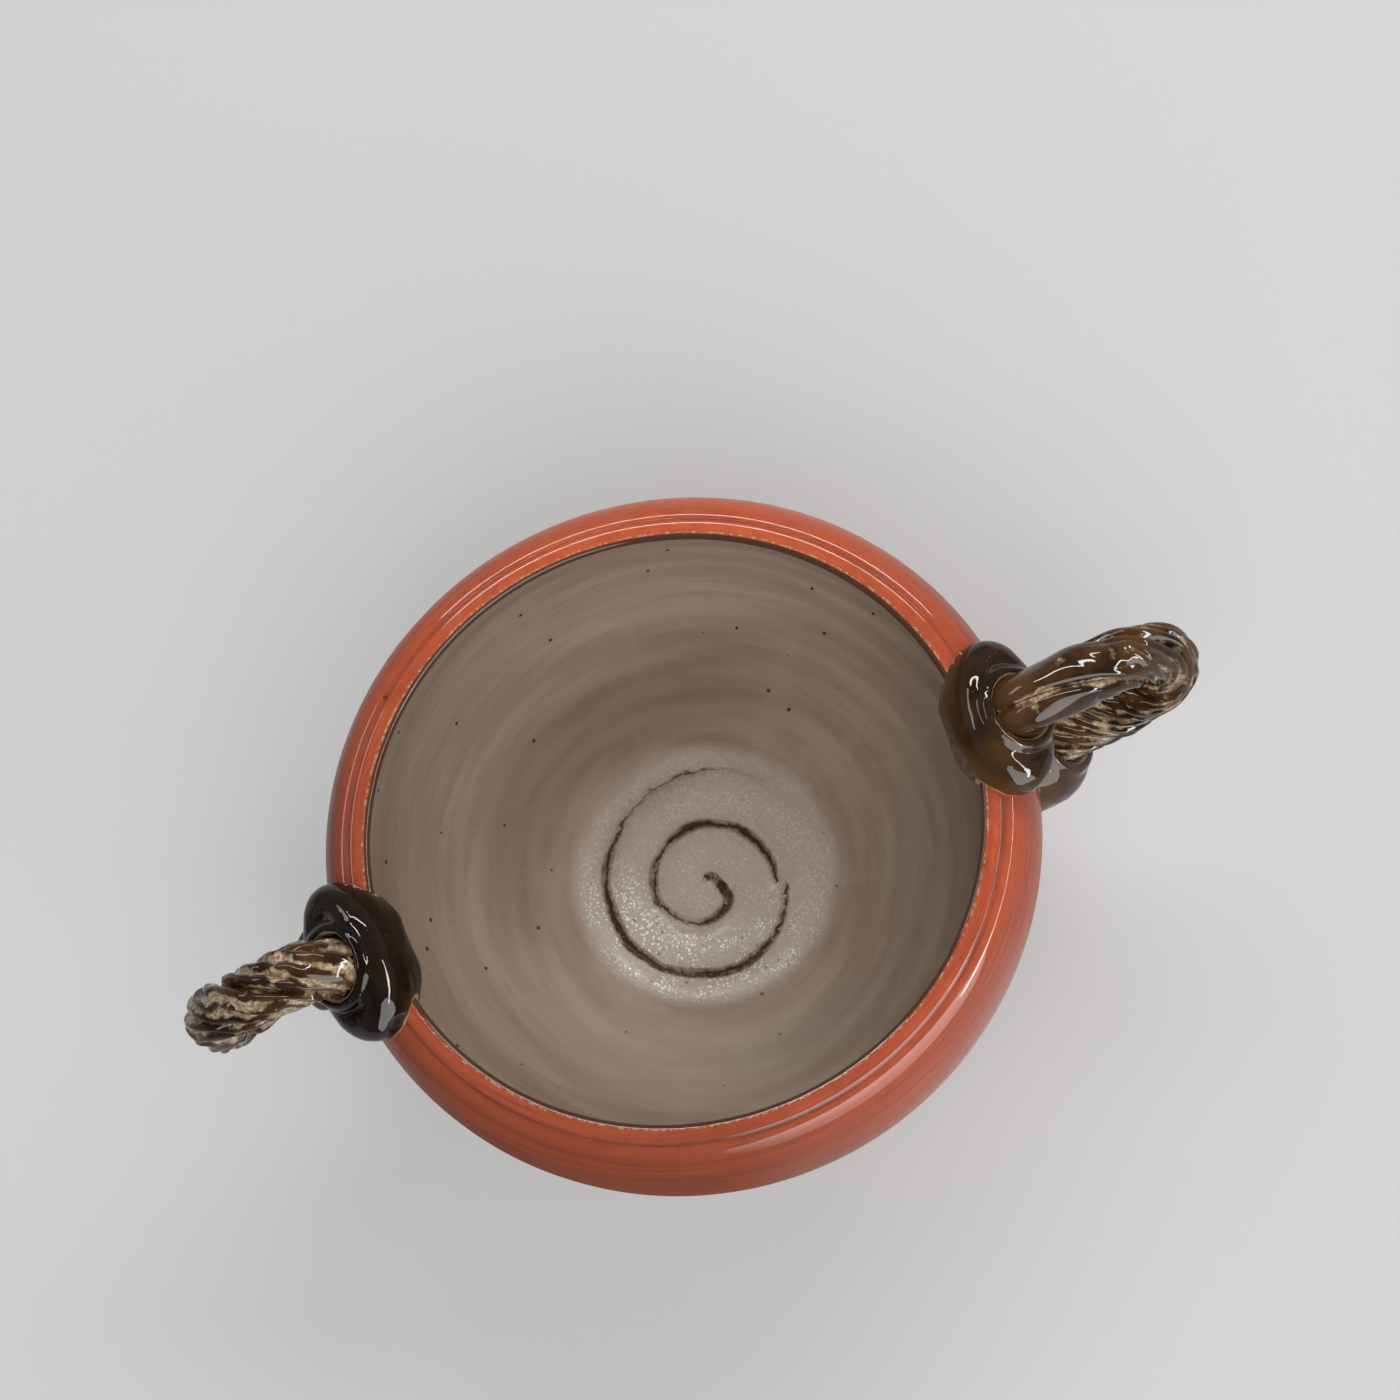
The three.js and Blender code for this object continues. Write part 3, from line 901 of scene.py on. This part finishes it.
def buildCoil(name, path, order, side, turn):
    r = ropeShape
    rings = len(path)
    clearSelection()
    bpy.ops.mesh.primitive_cylinder_add(vertices=r["coilSides"], radius=1, depth=1, location=(0, 0, 0))
    coil = fresh(name)
    for again in range(2):
        selectUpright(coil)
        bpy.ops.mesh.subdivide(number_cuts=r["coilCuts"])
        bpy.ops.object.mode_set(mode="OBJECT")

    crevice = []
    ways = [(path[min(i + 1, rings - 1)] - path[max(i - 1, 0)]).normalized() for i in range(rings)]
    gap = (path[1] - path[0]).length
    bends = [(ways[min(i + 1, rings - 1)] - ways[max(i - 1, 0)]) / (2 * gap) for i in range(rings)]
    level = Vector((0, 1, 0))
    spin = Matrix.Rotation(turn, 3, "Z")
    for corner in coil.data.vertices:
        index = min(max(round((corner.co.z + 0.5) * (rings - 1)), 0), rings - 1)
        share = index / (rings - 1)
        way = ways[index]
        out = level.cross(way).normalized()
        across = way.cross(out)
        twist = 2 * math.pi * (order / r["strands"] + r["turns"] * share ** r["twistEase"][side])
        around = math.atan2(corner.co.y, corner.co.x) / math.pi
        angle = max(min(around / r["outerShare"], 1), -1) * r["sector"]
        facing = out * math.cos(twist + angle) + across * math.sin(twist + angle)
        inner = ease(facing.dot(bends[index]) * r["radius"], 0.35, 0.75)
        radius, hollow = ridgedRope(share, angle, order, side, turn, inner)
        inward = max((abs(around) - r["outerShare"]) / (1 - r["outerShare"]), 0)
        radius = between(radius, r["core"], inward)
        crevice.append(max(hollow, ease(inward, 0, 0.1)))
        place = facing * radius
        bend = bends[index]
        fold = place.dot(bend) - 0.8
        if fold > 0:  # the inside of a tight bend piles up and doesn't fold over
            place -= bend * fold / bend.length_squared
        corner.co = spin @ ((path[index] + place) * mm)
    bpy.ops.object.mode_set(mode="EDIT")
    bpy.ops.mesh.select_all(action="SELECT")
    bpy.ops.mesh.normals_make_consistent(inside=False)
    bpy.ops.object.mode_set(mode="OBJECT")
    paintValues(coil, "crevice", crevice)
    return coil


padColours = {
    "black": (0.006, 0.0034, 0.0022),
    "brownBlack": (0.018, 0.010, 0.005),
    "amber": (0.085, 0.040, 0.013),
    "freckle": (0.30, 0.24, 0.16),
    "seam": (0.42, 0.30, 0.17),
}

ropeColours = {
    "darkBrown": (0.022, 0.010, 0.004),
    "amberBrown": (0.095, 0.042, 0.014),
    "creamShade": (0.26, 0.17, 0.085),
    "cream": (0.52, 0.42, 0.29),
}


def padGlaze():
    c = padColours
    gloss = {"Coat Weight": 0.9, "Coat Roughness": 0.04, "Coat IOR": 1.42}
    g = newGlaze("padGlaze", **gloss, **{"Roughness": 0.5, "Specular IOR Level": 0.0})
    place = g.place()
    cloud = g.grain(place, 70.0, 3.0)
    fine = g.grain(place, 1300.0, 2.0)
    dots = g.dots(place, 700.0)
    seam = g.value("seam")
    amber = g.value("amber")
    dark = g.blend(g.step(cloud, 0.4, 0.7), c["black"], c["brownBlack"])
    colour = g.blend(g.step(amber + (cloud - 0.5) * 0.7, 0.35, 0.9), dark, c["amber"])
    freckle = (1 - g.step(dots, 0.05, 0.12)) * g.step(fine, 0.5, 0.6)
    colour = g.blend(freckle * 0.6, colour, c["freckle"])
    colour = g.blend(g.step(seam + (fine - 0.5) * 0.5, 0.55, 0.9) * 0.8, colour, c["seam"])
    g.feed("Base Color", colour)
    g.feed("Normal", g.relief(cloud * 0.8 + fine * 0.12, 0.12))
    return g.material


def ropeGlaze():
    c = ropeColours
    gloss = {"Coat Weight": 0.9, "Coat Roughness": 0.05, "Coat IOR": 1.42}
    g = newGlaze("ropeGlaze", **gloss, **{"Roughness": 0.5, "Specular IOR Level": 0.0})
    place = g.place()
    cloud = g.grain(place, 90.0, 4.0)
    fine = g.grain(place, 1100.0, 3.0)
    crevice = g.value("crevice")
    patch = g.grain(place, 170.0, 4.0, 0.62)
    brown = g.blend(g.step(cloud, 0.35, 0.65), c["darkBrown"], c["amberBrown"])
    cream = g.blend(g.step(fine, 0.4, 0.65), c["creamShade"], c["cream"])
    colour = g.blend(g.step(crevice + (patch - 0.5) * 3.4, 0.42, 0.82), brown, cream)
    g.feed("Base Color", colour)
    g.feed("Normal", g.relief(cloud * 0.9 + fine * 0.15, 0.14))
    return g.material


def paintPad(pad, wall, seat, turn, amberBase):
    seam, amber = [], []
    socket = ropeShape["radius"] - padShape["socketPress"]
    upright = (Matrix.Rotation(turn, 4, "Z") @ Matrix.Translation(seat["at"]) @ seat["turn"]).inverted()
    for corner in pad.data.vertices:
        spot = corner.co / mm
        local = upright @ spot
        ring = 1 - ease(math.hypot(local.x, local.y), socket + 0.45, socket + 1.3)
        ring *= ease(local.z, seat["socketFloor"] - 0.5, seat["socketFloor"] + 0.2)
        radius = math.hypot(spot.x, spot.y)
        squeezed = radius - ovalPull(radius, spot.z)
        gap = wall.find((squeezed, 0, spot.z))[2]
        seam.append(max(1 - ease(gap, 0.5, 1.7), ring))
        amber.append(amberBase + 0.5 * (1 - ease(gap, 0.5, 6)))
    paintValues(pad, "seam", seam)
    paintValues(pad, "amber", amber)


def buildHandles():
    lumps = bpy.data.textures.new("fingerMarks", "CLOUDS")
    lumps.noise_scale = padShape["lumpScale"] * mm
    tool = seatTool()
    lipOut, lipIn = lipLine(30)
    wall = nearest(outerWall(300) + lipOut + lipIn)
    clay, rope = padGlaze(), ropeGlaze()
    for side, heading in sides.items():
        turn = math.radians(heading)
        seats = {level: padSeat(level, side) for level in ("upper", "lower")}
        for level, seat in seats.items():
            pad = buildPad(side + level.title() + "Pad", seat, turn, tool, lumps)
            paintPad(pad, wall, seat, turn, padShape["amber"][side])
            finishPiece(pad, f"{side}_{level}_pad", clay)
            print(pad.name, "seated,", len(pad.data.polygons), "faces")
        path = ropePath(seats["upper"], seats["lower"], side)
        for order in range(ropeShape["strands"]):
            coil = buildCoil(f"{side}Strand{order + 1}", path, order, side, turn)
            finishPiece(coil, f"{side}_strand_{order + 1}", rope)
        print(side, "rope twisted,", len(path), "rings")
    bpy.data.objects.remove(tool)


buildHandles()


# Camera, floor and light. The camera looks down into the mouth

view = {
    "across": 159.5,  # the picture's rightward direction, degrees from +X
    "tilt": 12.5,  # line of sight off the bowl's axis
    "lean": 60,  # the bottom shows towards this angle below the picture's right
    "aim": (0, 0, 57),  # mm on the bowl's axis
    "distance": 1200,
    "slideRight": 3.14,
    "slideUp": 28.5,
    "lens": 156.4,
    "sensor": 36,
}

light = {
    "roomSide": 0.26,
    "roomAbove": 0.12,
    "floorSize": 12,  # m
    "floor": (0.63, 0.63, 0.63),
    "floorShown": 0.4,  # this much of the floor is seen at one even pale grey, the rest keeps the shadow
    "floorGrey": (0.64, 0.64, 0.64),
    # way is rightward, upward and towards the camera in the picture; size is round and along that way
    "key": {"way": (0.10, 0.80, 0.62), "far": 0.95, "size": (1.00, 0.40), "power": 6.0, "shows": "fill"},
    "above": {"way": (0.05, -0.25, 1.0), "far": 1.25, "size": (0.90, 0.70), "power": 7.9, "shows": "fill"},
    "low": {"way": (0.20, -0.60, 0.70), "far": 1.00, "size": (0.80, 0.50), "power": 2.5, "shows": "fill"},
    "top": {"way": (-0.10, 0.80, 0.62), "far": 0.95, "size": (1.00, 0.07), "power": 6.5, "shows": "glint"},
    "right": {"way": (0.86, 0.05, 0.50), "far": 0.85, "size": (0.80, 0.06), "power": 4.0, "shows": "glint"},
    "left": {"way": (-0.86, 0.20, 0.48), "far": 0.95, "size": (0.70, 0.16), "power": 2.0, "shows": "glint"},
    "card": {"way": (0.55, -0.66, 0.44), "far": 0.80, "size": (1.00, 0.95), "power": 12.0, "shows": "glint"},
}


def pictureAxes():
    turn, tilt, lean = (math.radians(view[key]) for key in ("across", "tilt", "lean"))
    right = Vector((math.cos(turn), math.sin(turn), 0))
    up = Vector((-math.sin(turn), math.cos(turn), 0))
    shift = right * math.cos(lean) - up * math.sin(lean)
    back = Vector((0, 0, math.cos(tilt))) + shift * math.sin(tilt)
    right = (right - back * right.dot(back)).normalized()
    return right, back.cross(right), back


def aimedAt(spot, target, axis):
    back = (spot - target).normalized()
    side = axis.cross(back).normalized()
    matrix = Matrix((side, back.cross(side), back)).transposed().to_4x4()
    matrix.translation = spot
    return matrix


def buildStage():
    right, up, back = pictureAxes()
    aim = (Vector(view["aim"]) + Vector((axisX, 0, 0))) * mm
    spot = aim + (back * view["distance"] + right * view["slideRight"] + up * view["slideUp"]) * mm
    clearSelection()
    bpy.ops.object.camera_add()
    camera = bpy.context.active_object
    camera.name = "photoCamera"
    matrix = Matrix((right, up, back)).transposed().to_4x4()
    matrix.translation = spot
    camera.matrix_world = matrix
    camera.data.lens = view["lens"]
    camera.data.sensor_width = view["sensor"]
    camera.data.clip_end = 100
    bpy.context.scene.camera = camera

    clearSelection()
    bpy.ops.mesh.primitive_plane_add(size=light["floorSize"])
    floor = fresh("studioFloor")
    paper = newGlaze("floorPaper", **{"Roughness": 0.9, "Specular IOR Level": 0.2})
    paper.shader.inputs["Base Color"].default_value = (*light["floor"], 1)
    seen = paper.node("ShaderNodeLightPath", {}, {}, "Is Camera Ray") * light["floorShown"]
    even = paper.node("ShaderNodeEmission", {}, {"Color": (*light["floorGrey"], 1)})
    lit = Wire(paper, paper.shader.outputs[0])
    paper.shader = paper.tree.nodes["Material Output"]
    paper.feed("Surface", paper.node("ShaderNodeMixShader", {}, {0: seen, 1: lit, 2: even}))
    floor.data.materials.append(paper.material)

    for name in ("key", "above", "low", "top", "right", "left", "card"):
        setting = light[name]
        way = setting["way"]
        heading = (right * way[0] + up * way[1] + back * way[2]).normalized()
        clearSelection()
        bpy.ops.object.light_add(type="AREA")
        lamp = bpy.context.active_object
        lamp.name = name + "Softbox"
        lamp.matrix_world = aimedAt(aim + heading * setting["far"], aim, back)
        lamp.data.shape = "ELLIPSE" if name == "card" else "RECTANGLE"
        lamp.data.size, lamp.data.size_y = setting["size"]
        lamp.data.energy = setting["power"]
        lamp.visible_camera = False
        lamp.visible_glossy = setting["shows"] == "glint"
        lamp.visible_diffuse = setting["shows"] == "fill"

    bpy.context.scene.world = bpy.context.scene.world or bpy.data.worlds.new("studio")
    room = Glaze(bpy.context.scene.world, "Background", Color=(1, 1, 1, 1))
    heading = room.node("ShaderNodeTexCoord", {}, {}, "Generated")
    overhead = room.step(room.part(heading, 2), 0.15, 0.85)
    room.feed("Strength", room.between(overhead, light["roomSide"], light["roomAbove"]))
    bpy.context.scene.view_settings.view_transform = "Standard"


buildStage()
print("stage set")
